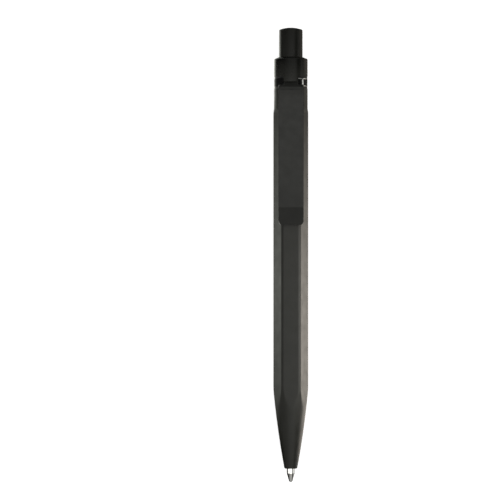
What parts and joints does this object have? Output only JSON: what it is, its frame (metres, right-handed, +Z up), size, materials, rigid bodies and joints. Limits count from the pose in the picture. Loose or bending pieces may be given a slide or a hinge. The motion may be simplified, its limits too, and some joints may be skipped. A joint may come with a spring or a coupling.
{
  "type": "ballpoint pen",
  "caption": "Retractable ballpoint pen with a six-sided graphite barrel, tapered nose, push button, collar and flat spring clip, lying with its tip out.",
  "frame": {"origin": "under the middle of the pen, on the surface that it lies on", "axes": "+Y along the pen from tip to button, +Z up through the clip, +X to the side"},
  "size_m": [0.0108, 0.142, 0.0128],
  "materials": {
    "graphite_plastic": "moulded plastic, soft satin, warm graphite",
    "button_plastic": "moulded plastic, satin black",
    "coated_steel": "spring steel strip with a dark satin coat",
    "black_plastic": "moulded plastic, glossy black",
    "cam_plastic": "moulded acetal, natural white",
    "spring_steel": "drawn spring wire",
    "tube_plastic": "extruded polypropylene, milky",
    "holder_plastic": "moulded plastic",
    "ink": "ballpoint ink paste, black",
    "grease": "clear follower grease",
    "tip_metal": "turned nickel silver",
    "ball_carbide": "ground hard metal ball"
  },
  "bodies": {
    "body": {"barrel": "graphite_plastic", "top_collar": "graphite_plastic", "cam_sleeve": "black_plastic", "clip_band": "coated_steel", "return_spring": "spring_steel"},
    "clip": {"clip_arm": "coated_steel"},
    "button": {"push_button": "button_plastic", "plunger": "cam_plastic"},
    "refill": {"refill_tube": "tube_plastic", "refill_end_plug": "tube_plastic", "tip_holder": "holder_plastic", "writing_tip": "tip_metal", "ink_column": "ink", "ink_follower": "grease"},
    "rotor": {"cam_rotor": "cam_plastic"},
    "ball": {"tip_ball": "ball_carbide"}
  },
  "joints": [
    {"name": "button_press", "type": "slide", "parent": "body", "child": "button", "axis": [0, 1, 0], "range_m": [-0.0012, 0.0053], "stiffness_N_per_m": 300},
    {"name": "refill_slide", "type": "slide", "parent": "body", "child": "refill", "axis": [0, 1, 0], "range_m": [-0.0012, 0.0053], "deforming": ["return_spring"]},
    {"name": "rotor_turn", "type": "hinge", "parent": "refill", "child": "rotor", "pos_m": [0, 0.036, 0.00525], "axis": [0, 1, 0], "range_deg": [-10.5, 45.5]},
    {"name": "ball_roll", "type": "hinge", "parent": "refill", "child": "ball", "pos_m": [0, -0.07065, 0.00525], "axis": [1, 0, 0], "continuous": true},
    {"name": "clip_flex", "type": "hinge", "parent": "body", "child": "clip", "pos_m": [0, 0.05345, 0.01039], "axis": [-1, 0, 0], "range_deg": [0, 4], "stiffness_Nm_per_rad": 0.9}
  ],
  "couplings": [
    {"joint": "refill_slide", "follows": "button_press", "ratio": 1},
    {"joint": "rotor_turn", "follows": "button_press", "rad_per_m": 148.19}
  ]
}
